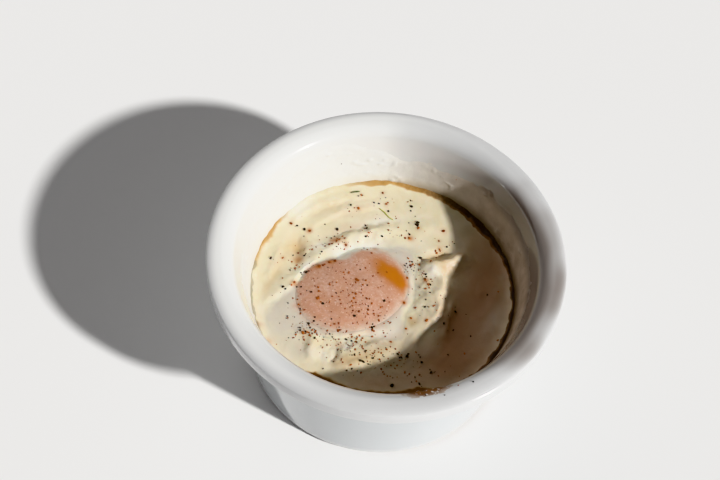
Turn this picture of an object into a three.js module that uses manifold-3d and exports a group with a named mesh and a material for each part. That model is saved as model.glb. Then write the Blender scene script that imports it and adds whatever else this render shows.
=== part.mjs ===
// A ramekin of baked egg: a thick white ceramic dish with a rolled lip, filled with set cream
// in which a white-filmed yolk lies, dusted with pepper and paprika. Millimetres, +Z up, the
// origin at the middle of the foot, where the dish stands.
import * as THREE from "three";
import { mergeVertices } from "three/addons/utils/BufferGeometryUtils.js";
import Module from "manifold-3d";

// ---- driving dimensions -------------------------------------------------------------------

const GAP = 0.3; // clear space between neighbouring solids

// The dish, outside.
const RIM_RADIUS = 50.7; // widest circle, on the outside of the lip
const HEIGHT = 48.9; // foot to the crown of the lip
const DISH_SIDES = 64;
const FOOT_RADIUS = 36.9; // outer edge of the flat ring that the dish stands on
const FOOT_WIDTH = 3.8;
const FOOT_RECESS = 1.2; // how far the underside stands clear inside the foot
const HEEL_RADIUS = 2.2;
const BODY_RADIUS = 38.4; // the outer wall produced down to the floor
const BODY_TAPER = 0.15; // growth of its radius for each mm of height
const LIP_UNDERSIDE = 42.9;
const LIP_FILLET = 2; // hollow rounding between the wall and the lip's underside
const LIP_BAND_BOTTOM = 44.1; // the nearly upright band on the outside of the lip
const LIP_BAND_TOP = 47.85;
const LIP_BEAD = 0.8; // rounding under the band
const LIP_BAND_LEAN = 0.2;
const LIP_INNER_REACH = 5.1; // the crown's inner quarter, across and down
const LIP_INNER_DROP = 4;

// The cavity: a flat floor, a round heel and a wall that opens out towards the lip.
const CAVITY_FLOOR = 6;
const CAVITY_HEEL = 8;
const CAVITY_RADIUS = 37.14; // at the top of the heel
const CAVITY_FLARE = 0.0055; // growth of the radius for each squared mm above the heel
const WALL_KNOTS = [20, 26, 36]; // heights of the wall's points

// The food.
const FILL_LEVEL = 29.1; // set cream where it meets the wall
const FOOD_SIDES = 72;
const CREAM_RINGS = 19; // from the wall in to the egg
const YOLK_CENTRE = { x: -8.5, y: -2.6 };
const YOLK_LONG = 17; // half lengths of the yolk's oval, and which way it lies in degrees
const YOLK_SHORT = 13.6;
const YOLK_TILT = 38;
const YOLK_FLAT = { angle: 125, depth: 2, spread: 28 }; // where the cream banks against it
const YOLK_EDGE = 0.7; // heights above the fill level
const YOLK_RISE = 2.4;
const YOLK_FULLNESS = 0.85; // 0.5 would be a true ellipse, 1 a parabola
const YOLK_DEPTH = 8;
const WHITE_MARGIN = 1.3; // the thinnest band of white round the yolk
const WHITE_EDGE = 0.1;
const WHITE_DEPTH = 12;
const POCKET_WALL = 2.5; // upright stretch at the top of each pocket
const BOWL_STEPS = 3; // rings round the rounded part of each pocket and underside

// The flakes of pepper and paprika that show from a step away, and the shreds of herb.
const FLAKE_COUNT = 50;
const FLAKE_TRIES = 14; // more tries spread the flakes more evenly
const FLAKE_HALF_LENGTH = [0.55, 0.95];
const FLAKE_HALF_WIDTH = 0.5;
const FLAKE_HALF_HEIGHT = 0.42;
const FLAKE_CLEARANCE = 1.5; // from a flake's middle to the edge of the food that it lies on
const FLAKE_SLOPE = 0.5; // the steepest food that holds a flake
const SPRINKLED_MOST = { at: [-7, -6.6], breadth: 17 };
const SPRINKLED_LEAST = 0.3; // beside the most
const SHREDS = {
  green: [[-16.6, 30.8], [-15.6, 31.5], [-14, 32.1]],
  yellow: [[-6.9, 27.6], [-5.2, 26.8], [-3.6, 25.4], [-2.1, 24.7]],
};
const SHRED_WIDTH = 0.55;
const SHRED_THICKNESS = 0.5;
const SHRED_STEPS = 6;

const LOOKS = {
  ramekin: { color: 0xf1f1f2, roughness: 0.12, metalness: 0 },
  cream: { color: 0xeadfb8, roughness: 0.42, metalness: 0 },
  egg_white: { color: 0xdeddd6, roughness: 0.3, metalness: 0 },
  yolk: { color: 0xcd8d74, roughness: 0.34, metalness: 0 },
};

// ---- the food's relief ----------------------------------------------------------------------
// Places are on the food seen from above, x to the right and y away from the viewer.

// Folds follow a smooth curve through their points and die away at both ends. Each side of the
// crest has its own breadth, so that a fold can be a step.
const FOLDS = {
  outer_terrace: {
    path: [[-32, 15.4], [-28, 21], [-21, 26.8], [-9, 33]],
    left: 4.5, right: 1.1, height: 0.9,
  },
  middle_fold: {
    path: [[-25.5, 15.4], [-21, 20.4], [-14, 26.2], [-4, 28.9]],
    left: 2.4, right: 1.1, height: 0.7,
  },
  yolk_bank: {
    path: [[-24, 2.4], [-16.5, 10.9], [-10.5, 15.9], [-4, 19.9], [4, 22.4]],
    left: 2.6, right: 2.4, height: 1.7,
  },
  left_bank: {
    path: [[-20, 10.4], [-23.5, 1.4], [-26, -5.6], [-34, -13.6]],
    left: 1.6, right: 3.2, height: 1.3,
  },
  left_fold: {
    path: [[-33.5, 8.4], [-32.5, 2.4], [-33.5, -5.6]],
    left: 1.5, right: 2, height: 0.6,
  },
  tongue: {
    path: [[8.5, 9.9], [13.5, 12.4], [17.8, 14.7], [23.2, 18.4]],
    left: 1.6, right: 2.6, height: 2.3,
  },
  right_bank: {
    path: [[12, 13.4], [15.8, 7.4], [16.4, 0.4], [16, -6.6], [9.5, -15.1]],
    left: 1.4, right: 4.6, height: 1.9,
  },
  curd_ridge: {
    path: [[-20, -15.6], [-16, -20.6], [-14.8, -29.6]],
    left: 2.2, right: 2, height: 1.1,
  },
  curd_plate: {
    path: [[-10, -30.6], [-5.4, -23.4], [1, -20.4], [10, -18.1]],
    left: 2.2, right: 3.4, height: 1,
  },
  shade_fold: {
    path: [[21.5, 2.4], [20, -4.6], [20.8, -12.6]],
    left: 1.3, right: 1.3, height: 0.8,
  },
};

// Lumps rise and hollows sink: a middle, half lengths along and across, a turn in degrees.
const LUMPS = {
  tan_hollow: { at: [-27, 7.9], size: [2.6, 4.6], turn: 25, height: -1.3 },
  bank_hollow: { at: [-14, 16.9], size: [6, 1.6], turn: 38, height: -0.35 },
  notch: { at: [14, 16], size: [3.6, 1.9], turn: 28, height: -1.3 },
  white_lump: { at: [13.2, 8.8], size: [1.7, 1.5], turn: 0, height: 0.8 },
  upper_pillow: { at: [7, 24.4], size: [5, 3], turn: 20, height: 0.7 },
  far_pillow: { at: [1, 17.9], size: [4, 2.2], turn: 10, height: 0.5 },
  curd_lump: { at: [-19.6, -19.1], size: [1.6, 1.3], turn: 0, height: 0.8 },
  crease: { at: [-8.4, -25.1], size: [1, 2.6], turn: -8, height: -0.7 },
  lower_curd: { at: [-2, -26.1], size: [3.4, 1.7], turn: 20, height: 0.8 },
  shade_dip: { at: [26, -1.6], size: [7.5, 14], turn: 0, height: -0.9 },
};
const RELIEF_FADE = 4; // the relief dies away over this breadth before the wall

// The browned rim climbs the wall.
const RIM_CLIMB = { height: 0.9, breadth: 1.6 };

// Where the white spreads wider than its margin: a direction from the yolk, how far, how broad.
const WHITE_LOBES = {
  upper_right: { angle: 50, reach: 4.6, spread: 17 },
  right: { angle: 4, reach: 1.2, spread: 18 },
  lower_right: { angle: -36, reach: 5.6, spread: 17 },
  lower: { angle: -95, reach: 0.8, spread: 20 },
  lower_left: { angle: -141, reach: 8.6, spread: 19 },
};

// ---- small helpers --------------------------------------------------------------------------

const { clamp, degToRad, euclideanModulo, lerp, radToDeg, smoothstep } = THREE.MathUtils;
const point = (x, z) => new THREE.Vector2(x, z);

// n + 1 points round part of an ellipse, between two angles in degrees.
function arc(x, z, across, up, from, to, n) {
  return Array.from({ length: n + 1 }, (_, i) => {
    const a = degToRad(lerp(from, to, i / n));
    return point(x + across * Math.cos(a), z + up * Math.sin(a));
  });
}

// The signed turn from one direction to another, between -180 and 180 degrees.
function turnBetween(a, b) {
  return euclideanModulo(a - b + 180, 360) - 180;
}

function bell(distance, breadth) {
  return Math.exp(-((distance / breadth) ** 2));
}

// Repeatable draws between 0 and 1.
function seededDraws(seed) {
  let state = seed;
  return () => {
    state = (state * 1664525 + 1013904223) % 4294967296;
    return state / 4294967296;
  };
}

// ---- the shape of the food's top ------------------------------------------------------------

const PATH_STEPS = 16;
const folds = Object.values(FOLDS).map((fold) => {
  const knots = fold.path.map(([x, y]) => point(x, y));
  return { ...fold, line: new THREE.SplineCurve(knots).getPoints(PATH_STEPS) };
});

// Height that a fold adds: the nearest spot on its line gives distance, side and share.
function foldHeight(fold, x, y) {
  let near = { distance: Infinity };
  for (let i = 0; i < PATH_STEPS; i++) {
    const start = fold.line[i];
    const along = fold.line[i + 1].clone().sub(start);
    const off = point(x, y).sub(start);
    const t = clamp(off.dot(along) / along.lengthSq(), 0, 1);
    const distance = off.clone().addScaledVector(along, -t).length();
    if (distance < near.distance) {
      near = { distance, share: (i + t) / PATH_STEPS, side: along.cross(off) };
    }
  }
  const taper = smoothstep(4 * near.share * (1 - near.share), 0, 1);
  return fold.height * taper * bell(near.distance, near.side > 0 ? fold.left : fold.right);
}

function lumpHeight(lump, x, y) {
  const off = point(x - lump.at[0], y - lump.at[1]).rotateAround(point(0, 0), -degToRad(lump.turn));
  return lump.height * bell(off.x, lump.size[0]) * bell(off.y, lump.size[1]);
}

function creamTop(x, y) {
  const inside = Math.max(cavityRadius(FILL_LEVEL) - Math.hypot(x, y), 0);
  const climb = RIM_CLIMB.height * bell(inside, RIM_CLIMB.breadth);
  const relief =
    folds.reduce((sum, fold) => sum + foldHeight(fold, x, y), 0) +
    Object.values(LUMPS).reduce((sum, lump) => sum + lumpHeight(lump, x, y), 0);
  return FILL_LEVEL + climb + relief * smoothstep(inside, 0, RELIEF_FADE);
}

// Outlines of the egg: the distance from the yolk's centre in a direction.
function yolkRadius(degrees) {
  const a = degToRad(degrees - YOLK_TILT);
  const oval = (YOLK_LONG * YOLK_SHORT) / Math.hypot(YOLK_SHORT * Math.cos(a), YOLK_LONG * Math.sin(a));
  return oval - YOLK_FLAT.depth * bell(turnBetween(degrees, YOLK_FLAT.angle), YOLK_FLAT.spread);
}

function whiteRadius(degrees) {
  const spread = Object.values(WHITE_LOBES).reduce(
    (sum, lobe) => sum + lobe.reach * bell(turnBetween(degrees, lobe.angle), lobe.spread),
    0,
  );
  return yolkRadius(degrees) + WHITE_MARGIN + spread;
}

// Heights of the egg: share runs from 0, innermost, to 1, at the outline.
function whiteTop(share) {
  return FILL_LEVEL + lerp(YOLK_EDGE, WHITE_EDGE, smoothstep(share, 0, 1));
}

function yolkTop(share) {
  return FILL_LEVEL + YOLK_EDGE + YOLK_RISE * (1 - share ** 2) ** YOLK_FULLNESS;
}

// Distance from the yolk's centre, in a direction, to a circle round the dish's axis.
function reachToCircle(degrees, radius) {
  const a = degToRad(degrees);
  const along = YOLK_CENTRE.x * Math.cos(a) + YOLK_CENTRE.y * Math.sin(a);
  const across = YOLK_CENTRE.y * Math.cos(a) - YOLK_CENTRE.x * Math.sin(a);
  return Math.sqrt(radius ** 2 - across ** 2) - along;
}

// ---- the dish -------------------------------------------------------------------------------

// Inner radius of the dish, above the heel of its cavity.
function cavityRadius(z) {
  return CAVITY_RADIUS + CAVITY_FLARE * (z - CAVITY_FLOOR - CAVITY_HEEL) ** 2;
}

// The cavity's outline from the axis out and up, moved inwards by an inset.
function cavityProfile(inset) {
  const radius = CAVITY_HEEL - inset;
  return [
    point(0, CAVITY_FLOOR + inset),
    ...arc(CAVITY_RADIUS - CAVITY_HEEL, CAVITY_FLOOR + CAVITY_HEEL, radius, radius, -90, 0, 4),
    ...WALL_KNOTS.map((z) => point(cavityRadius(z) - inset, z)),
  ];
}

function dishGeometry() {
  const bodyRadius = (z) => BODY_RADIUS + BODY_TAPER * z;
  const heelAcross = bodyRadius(HEEL_RADIUS) - FOOT_RADIUS;
  const footInside = FOOT_RADIUS - FOOT_WIDTH;
  const lipRoot = bodyRadius(LIP_UNDERSIDE);
  const bandRadius = RIM_RADIUS - LIP_BAND_LEAN - LIP_BEAD;

  // The crown's inner quarter leaves the cavity's wall at the angle of that wall.
  const quarterMiddle = HEIGHT - LIP_INNER_DROP;
  const wallSlope = 2 * CAVITY_FLARE * (quarterMiddle - CAVITY_FLOOR - CAVITY_HEEL);
  const leave = Math.atan((wallSlope * LIP_INNER_DROP) / LIP_INNER_REACH);
  const throat = quarterMiddle + LIP_INNER_DROP * Math.sin(leave);
  const crown = cavityRadius(throat) + LIP_INNER_REACH * Math.cos(leave);

  const profile = [
    point(0, FOOT_RECESS),
    point(footInside - FOOT_RECESS, FOOT_RECESS),
    point(footInside, 0),
    ...arc(FOOT_RADIUS, HEEL_RADIUS, heelAcross, HEEL_RADIUS, -90, 0, 4),
    point(bodyRadius(LIP_UNDERSIDE / 2), LIP_UNDERSIDE / 2),
    ...arc(lipRoot + LIP_FILLET, LIP_UNDERSIDE - LIP_FILLET, LIP_FILLET, LIP_FILLET, 180, 90, 3),
    ...arc(bandRadius, LIP_BAND_BOTTOM, LIP_BEAD, LIP_BEAD, -80, 0, 2),
    ...arc(crown, LIP_BAND_TOP, RIM_RADIUS - crown, HEIGHT - LIP_BAND_TOP, 0, 90, 6),
    ...arc(crown, quarterMiddle, LIP_INNER_REACH, LIP_INNER_DROP, 90, 180 - radToDeg(leave), 5).slice(1),
    ...cavityProfile(0).reverse(),
  ];
  return new THREE.LatheGeometry(profile, DISH_SIDES).rotateX(Math.PI / 2);
}

// ---- the food's solids ----------------------------------------------------------------------

// A closed surface through rings of points between two poles. The rings run anticlockwise seen
// from above, first round the underside, then up the side and in over the top.
function ringSolid(bottom, rings, top) {
  const sides = rings[0].length;
  const at = (ring, i) => 1 + ring * sides + (i % sides);
  const last = rings.length - 1;
  const topPole = 1 + rings.length * sides;
  const faces = [];
  for (let i = 0; i < sides; i++) {
    faces.push(0, at(0, i + 1), at(0, i));
    for (let ring = 0; ring < last; ring++) {
      faces.push(at(ring, i), at(ring, i + 1), at(ring + 1, i + 1));
      faces.push(at(ring, i), at(ring + 1, i + 1), at(ring + 1, i));
    }
    faces.push(at(last, i), at(last, i + 1), topPole);
  }
  return new THREE.BufferGeometry().setFromPoints([bottom, ...rings.flat(), top]).setIndex(faces);
}

// One ring round the yolk's centre, its reach and its height given for each direction.
function foodRing(reach, height) {
  return Array.from({ length: FOOD_SIDES }, (_, i) => {
    const degrees = (360 * i) / FOOD_SIDES;
    const x = YOLK_CENTRE.x + reach(degrees) * Math.cos(degToRad(degrees));
    const y = YOLK_CENTRE.y + reach(degrees) * Math.sin(degToRad(degrees));
    return new THREE.Vector3(x, y, height(x, y));
  });
}

function pole(z) {
  return new THREE.Vector3(YOLK_CENTRE.x, YOLK_CENTRE.y, z);
}

// Rings of a bowl, from its bottom up to where its upright edge begins. The bowl's outline is at
// the height top, and grow makes it larger all over.
function bowlRings(outline, top, depth, grow = 0) {
  return Array.from({ length: BOWL_STEPS }, (_, i) => {
    const a = (((i + 1) / BOWL_STEPS) * Math.PI) / 2;
    const z = top - POCKET_WALL - (depth - POCKET_WALL) * Math.cos(a) - grow;
    return foodRing((degrees) => (outline(degrees) + grow) * Math.sin(a), () => z);
  });
}

function yolkGeometry() {
  const edge = FILL_LEVEL + YOLK_EDGE;
  const shares = [1, 0.93, 0.78, 0.55, 0.28];
  const domeRings = shares.map((share) => foodRing((t) => share * yolkRadius(t), () => yolkTop(share)));
  const bowl = bowlRings(yolkRadius, edge, YOLK_DEPTH);
  return ringSolid(pole(edge - YOLK_DEPTH), [...bowl, ...domeRings], pole(yolkTop(0)));
}

function whiteGeometry() {
  const edge = FILL_LEVEL + YOLK_EDGE;
  const inner = (degrees) => yolkRadius(degrees) + GAP;
  const topRings = [1, 0.5, 0].map((share) =>
    foodRing((t) => lerp(inner(t), whiteRadius(t), share), () => whiteTop(share)),
  );
  const bowl = bowlRings(whiteRadius, FILL_LEVEL, WHITE_DEPTH);
  const pocket = bowlRings(yolkRadius, edge, YOLK_DEPTH, GAP).reverse();
  const rings = [...bowl, ...topRings, ...pocket];
  return ringSolid(pole(FILL_LEVEL - WHITE_DEPTH), rings, pole(edge - YOLK_DEPTH - GAP));
}

function creamGeometry() {
  const inner = (degrees) => whiteRadius(degrees) + GAP;
  const outer = (degrees) => reachToCircle(degrees, cavityRadius(FILL_LEVEL) - GAP);
  const below = cavityProfile(GAP).filter((p) => p.x > 0 && p.y < FILL_LEVEL);
  const wallRings = below.map((p) => foodRing((t) => reachToCircle(t, p.x), () => p.y));

  // The edge follows the flaring wall as far as the browned rim climbs.
  const edgeRing = foodRing(outer, creamTop).map((p) => {
    const scale = (cavityRadius(p.z) - GAP) / Math.hypot(p.x, p.y);
    return new THREE.Vector3(p.x * scale, p.y * scale, p.z);
  });
  const topRings = Array.from({ length: CREAM_RINGS }, (_, i) => {
    const share = 1 - (i + 1) / CREAM_RINGS;
    return foodRing((t) => lerp(inner(t), outer(t), share), creamTop);
  });
  const pocket = bowlRings(whiteRadius, FILL_LEVEL, WHITE_DEPTH, GAP).reverse();
  const rings = [...wallRings, edgeRing, ...topRings, ...pocket];
  return ringSolid(pole(CAVITY_FLOOR + GAP), rings, pole(FILL_LEVEL - WHITE_DEPTH - GAP));
}

// ---- toppings -------------------------------------------------------------------------------

const lookDown = new THREE.Raycaster();

// The food under a spot: the mesh that shows there and the height of its surface.
function foodUnder(x, y, meshes) {
  lookDown.set(new THREE.Vector3(x, y, HEIGHT), new THREE.Vector3(0, 0, -1));
  const hit = lookDown.intersectObjects(meshes)[0];
  return { mesh: hit.object, z: hit.point.z };
}

// Whether one mesh alone shows all round a spot, with no steep drop.
function isClear(x, y, margin, meshes) {
  const here = foodUnder(x, y, meshes);
  return [0, 60, 120, 180, 240, 300].every((degrees) => {
    const a = degToRad(degrees);
    const there = foodUnder(x + margin * Math.cos(a), y + margin * Math.sin(a), meshes);
    return there.mesh === here.mesh && Math.abs(there.z - here.z) < FLAKE_SLOPE * margin;
  });
}

// How thickly the flakes lie: most on the yolk and the curds below it, fewest on the far cream.
function sprinkling(x, y) {
  const distance = Math.hypot(x - SPRINKLED_MOST.at[0], y - SPRINKLED_MOST.at[1]);
  return lerp(SPRINKLED_LEAST, 1, bell(distance, SPRINKLED_MOST.breadth));
}

// Spots for the flakes: of several draws the one that lies farthest from the flakes so far,
// weighed by how thickly they lie there.
function flakeSpots(meshes) {
  const draw = seededDraws(7);
  const spots = [];
  const reach = cavityRadius(FILL_LEVEL) - RELIEF_FADE;
  while (spots.length < FLAKE_COUNT) {
    let best = { worth: -1 };
    for (let i = 0; i < FLAKE_TRIES; i++) {
      const r = reach * Math.sqrt(draw());
      const angle = 2 * Math.PI * draw();
      const [x, y] = [r * Math.cos(angle), r * Math.sin(angle)];
      const apart = Math.min(reach, ...spots.map((spot) => Math.hypot(x - spot.x, y - spot.y)));
      const worth = apart * sprinkling(x, y);
      if (worth > best.worth && isClear(x, y, FLAKE_CLEARANCE, meshes)) best = { worth, x, y };
    }
    if (best.worth > 0) spots.push({ x: best.x, y: best.y, size: draw(), turn: Math.PI * draw() });
  }
  return spots;
}

function flakeGeometry(spot, z) {
  return new THREE.IcosahedronGeometry(1, 0)
    .scale(lerp(...FLAKE_HALF_LENGTH, spot.size), FLAKE_HALF_WIDTH, FLAKE_HALF_HEIGHT)
    .rotateZ(spot.turn)
    .translate(spot.x, spot.y, z);
}

// A shred is a thin strip that follows the surface under it.
function shredGeometry(path, meshes) {
  const knots = path.map(([x, y]) => new THREE.Vector3(x, y, foodUnder(x, y, meshes).z));
  const section = new THREE.Shape(
    arc(0, 0, SHRED_THICKNESS / 2, SHRED_WIDTH / 2, 45, 315, 3),
  );
  return new THREE.ExtrudeGeometry(section, {
    steps: SHRED_STEPS,
    bevelEnabled: false,
    extrudePath: new THREE.CatmullRomCurve3(knots),
  });
}

const wasm = await Module();
wasm.setup();

function toSolid(geometry) {
  const bare = geometry.clone();
  bare.deleteAttribute("normal");
  bare.deleteAttribute("uv");
  const merged = mergeVertices(bare);
  return new wasm.Manifold(
    new wasm.Mesh({
      numProp: 3,
      vertProperties: new Float32Array(merged.attributes.position.array),
      triVerts: new Uint32Array(merged.index.array),
    }),
  );
}

function fromSolid(solid) {
  const { vertProperties, triVerts } = solid.getMesh();
  const geometry = new THREE.BufferGeometry();
  geometry.setAttribute("position", new THREE.BufferAttribute(vertProperties, 3));
  return geometry.setIndex(new THREE.BufferAttribute(triVerts, 1));
}

// Fuses each topping to the food that shows under it.
function addToppings(meshes) {
  const flakes = flakeSpots(meshes).map((spot) => {
    const under = foodUnder(spot.x, spot.y, meshes);
    return { mesh: under.mesh, geometry: flakeGeometry(spot, under.z) };
  });
  const shreds = Object.values(SHREDS).map((path) => {
    const under = foodUnder(...path[1], meshes);
    return { mesh: under.mesh, geometry: shredGeometry(path, meshes) };
  });
  const toppings = [...flakes, ...shreds];
  for (const mesh of meshes) {
    const own = toppings.filter((topping) => topping.mesh === mesh);
    const solid = own.reduce((sum, topping) => sum.add(toSolid(topping.geometry)), toSolid(mesh.geometry));
    mesh.geometry = fromSolid(solid);
    mesh.geometry.computeVertexNormals();
  }
}

// ---- the whole ------------------------------------------------------------------------------

function makeMesh(name, geometry) {
  const mesh = new THREE.Mesh(geometry, new THREE.MeshStandardMaterial(LOOKS[name]));
  mesh.name = name;
  return mesh;
}

const dish = makeMesh("ramekin", dishGeometry());
const food = [
  makeMesh("cream", creamGeometry()),
  makeMesh("egg_white", whiteGeometry()),
  makeMesh("yolk", yolkGeometry()),
];
addToppings(food);

const bakedEgg = new THREE.Group();
bakedEgg.add(dish, ...food);

export default bakedEgg;
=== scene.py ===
"""A ramekin of baked egg: set cream round a filmed yolk, in a glazed dish with a rolled lip.

Forms are in millimetres on the dish's own axes, the origin at the middle of its foot, +Z up and
the viewer on the -Y side, and become metres as each mesh is made. The dish and the food repeat
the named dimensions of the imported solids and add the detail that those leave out.
"""

import math
from collections import namedtuple

import bpy
import numpy as np
from mathutils import Matrix, Vector

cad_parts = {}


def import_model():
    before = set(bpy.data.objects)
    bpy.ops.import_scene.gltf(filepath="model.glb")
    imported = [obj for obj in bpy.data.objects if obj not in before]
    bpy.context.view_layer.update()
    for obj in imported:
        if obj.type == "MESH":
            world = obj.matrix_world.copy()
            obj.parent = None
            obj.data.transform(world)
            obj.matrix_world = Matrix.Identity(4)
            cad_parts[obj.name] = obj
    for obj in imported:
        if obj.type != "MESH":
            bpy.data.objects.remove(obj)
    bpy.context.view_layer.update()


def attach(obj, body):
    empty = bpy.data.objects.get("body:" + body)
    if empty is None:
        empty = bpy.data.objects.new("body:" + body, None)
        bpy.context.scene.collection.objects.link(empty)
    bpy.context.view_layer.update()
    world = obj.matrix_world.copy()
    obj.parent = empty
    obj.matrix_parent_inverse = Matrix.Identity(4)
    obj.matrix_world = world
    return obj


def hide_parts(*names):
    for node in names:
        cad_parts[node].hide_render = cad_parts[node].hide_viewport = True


MM = 0.001

Wave = namedtuple("Wave", "height size seed")  # one layer of noise
Fold = namedtuple("Fold", "path left right height")  # with its breadth on either side
Lump = namedtuple("Lump", "at size turn height")
Zone = namedtuple("Zone", "at size pepper paprika")  # with how many specks of each
Spice = namedtuple("Spice", "name large strays dark light roughness seed flatness")

# ---- the camera and the light ----

CAMERA_AT = (21.6, -227.5, 396.2)
CAMERA_YAW = -0.13
CAMERA_PITCH = -0.9827
CAMERA_ROLL = 0.1092
CAMERA_LENS = 74.35
CAMERA_SENSOR = 36

KEY_FROM = (1.391, -0.538, 1)  # direction towards the key light
KEY_STRENGTH = 4.4
KEY_SPREAD = 3  # degrees across, seen from the dish
KEY_COLOUR = (1, 0.99, 0.97)
SOFT_FROM = (-1, 0.9, 0.9)  # direction towards the soft light behind the dish
SOFT_STRENGTH = 0.85
SOFT_SPREAD = 75
SOFT_COLOUR = (1, 0.97, 0.93)
FILL_STRENGTH = 0.085
FILL_COLOUR = (0.95, 0.95, 1)
FLOOR_HALF = 8000

# ---- sizes, stains and painted shade of the dish ----

DISH_SIDES = 256
RIM_RADIUS = 50.7
HEIGHT = 48.9
FOOT_RADIUS = 36.9
FOOT_WIDTH = 3.8
FOOT_RECESS = 1.2
BARE_HEIGHT = 0.3  # the foot ring is unglazed up to here
HEEL_RADIUS = 2.2
BODY_RADIUS = 38.4
BODY_TAPER = 0.15
LIP_UNDERSIDE = 42.9
LIP_FILLET = 2
LIP_BAND_BOTTOM = 44.1
LIP_BAND_TOP = 47.85
LIP_BEAD = 0.8
LIP_BAND_LEAN = 0.2
LIP_INNER_REACH = 5.1
LIP_INNER_DROP = 4
CAVITY_FLOOR = 6
CAVITY_HEEL = 8
CAVITY_RADIUS = 37.14
CAVITY_FLARE = 0.0055
RECESS_ROUNDING = (0.9, 0.6)  # across and up
BEAD_START = -80  # degrees, where the band's lower bead leaves the lip's underside
BODY_STEPS = 20
WALL_STEPS = 40

# Shares and levels round the dish, each a list of directions in degrees with their values.
VEIL_SHARE = [(-140, 1), (-105, 0.4), (-80, 0), (70, 0), (94, 0.4), (103, 1)]
VEIL_DEPTH = 5
# Painted shade, with some grey stain: the inner side and the lip are darkened on the right, where they
# turn from the key light.
SHADE_AND_STAIN_TOP = [
    (-50, 47), (-35, 48.5), (-20, 48.9), (-8, 49), (4, 49), (18, 48.9), (32, 48.7), (45, 48.2),
    (55, 46.6), (65, 44), (80, 41.8), (92, 39.5),
]
SHADE_AND_STAIN_SHARE = [(-85, 0), (-50, 0.6), (-25, 1), (42, 1), (58, 0.6), (75, 0.25), (92, 0)]
SHADE_AND_STAIN_BLUR = [(-50, 2), (0, 1.2), (50, 3.4), (90, 3.4)]
SHADE_AND_STAIN_WANDER = [Wave(0.7, 9, 23)]
ON_GLAZE = 0.5  # points this near to the inner side are on it

# ---- sizes and tones of the food ----

FILL_LEVEL = 29.1
FOOD_SIDES = 480
CREAM_RINGS = 120
WHITE_RINGS = 16
YOLK_RINGS = 48
SIDE_STEPS = 12
SIDE_BOTTOM = 16
FOOD_GAP = 0.2  # between the food's hidden sides and the dish
YOLK_CENTRE = (-8.5, -2.6)
YOLK_LONG = 17
YOLK_SHORT = 13.6
YOLK_TILT = 38
YOLK_FLAT = (125, 2, 28)  # direction in degrees, depth and spread
YOLK_EDGE = 0.7
YOLK_RISE = 2.4
YOLK_FULLNESS = 0.85
YOLK_DEPTH = 8
WHITE_MARGIN = 1.3
WHITE_DEPTH = 12
POCKET_WALL = 2.5
BOWL_STEPS = 5
BURIED = 0.1  # how far edges that meet the dish run into it

WHITE_LOBES = [  # direction in degrees, reach and spread
    (50, 4.6, 17),
    (4, 1.2, 18),
    (-36, 5.6, 17),
    (-95, 0.8, 20),
    (-141, 8.6, 19),
]

FOLDS = [
    Fold([(-32, 15.4), (-28, 21), (-21, 26.8), (-9, 33)], 4.5, 1.1, 0.9),
    Fold([(-25.5, 15.4), (-21, 20.4), (-14, 26.2), (-4, 28.9)], 2.4, 1.1, 0.7),
    Fold([(-24, 2.4), (-16.5, 10.9), (-10.5, 15.9), (-4, 19.9), (4, 22.4)], 2.6, 2.4, 1.7),
    Fold([(-20, 10.4), (-23.5, 1.4), (-26, -5.6), (-34, -13.6)], 1.6, 3.2, 1.3),
    Fold([(-33.5, 8.4), (-32.5, 2.4), (-33.5, -5.6)], 1.5, 2, 0.6),
    Fold([(8.5, 9.9), (13.5, 12.4), (17.8, 14.7), (23.2, 18.4)], 1.6, 2.6, 2.3),
    Fold([(12, 13.4), (15.8, 7.4), (16.4, 0.4), (16, -6.6), (9.5, -15.1)], 1.4, 4.6, 1.9),
    Fold([(-20, -15.6), (-16, -20.6), (-14.8, -29.6)], 2.2, 2, 1.1),
    Fold([(-10, -30.6), (-5.4, -23.4), (1, -20.4), (10, -18.1)], 2.2, 3.4, 1),
    Fold([(21.5, 2.4), (20, -4.6), (20.8, -12.6)], 1.3, 1.3, 0.8),
]

LUMPS = [
    Lump((-27, 7.9), (2.6, 4.6), 25, -1.3),
    Lump((-14, 16.9), (6, 1.6), 38, -0.35),
    Lump((14, 16), (3.6, 1.9), 28, -1.3),
    Lump((13.2, 8.8), (1.7, 1.5), 0, 0.8),
    Lump((7, 24.4), (5, 3), 20, 0.7),
    Lump((1, 17.9), (4, 2.2), 10, 0.5),
    Lump((-19.6, -19.1), (1.6, 1.3), 0, 0.8),
    Lump((-8.4, -25.1), (1, 2.6), -8, -0.7),
    Lump((-2, -26.1), (3.4, 1.7), 20, 0.8),
    Lump((26, -1.6), (7.5, 14), 0, -0.9),
]
SOFT_LUMPS = [  # low swells that the solids leave out
    Lump((6.5, -21.5), (9.5, 3.6), 28, 1.1),
    Lump((18, -5.5), (1.8, 5), 0, 1),
    Lump((12.6, -14), (2.4, 2.4), 0, 0.7),
]
CURDS = [Lump((-5, -23.6), (12.8, 8), 0, 1), Lump((13, 2), (6, 10.8), 0, 1)]  # roughest here
RELIEF_FADE = 4
RIM_CLIMB = (0.9, 1.6)  # height and breadth

STIR_X = [Wave(0.9, 4.5, 18), Wave(0.45, 1.8, 19)]
STIR_Y = [Wave(0.9, 4.5, 20), Wave(0.45, 1.8, 21)]
RIM_RAGGED = [Wave(0.45, 4, 1), Wave(0.25, 1.5, 2)]
SOFT_RELIEF = [Wave(0.14, 4.5, 3), Wave(0.06, 1.8, 4)]
CURD_RELIEF = [Wave(0.25, 2.2, 5), Wave(0.12, 1.1, 6)]
RING_WANDER = [Wave(0.7, 3, 7), Wave(0.35, 1.1, 17)]
TONE_WANDER = [Wave(0.5, 2.5, 8), Wave(0.3, 1, 9)]
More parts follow.
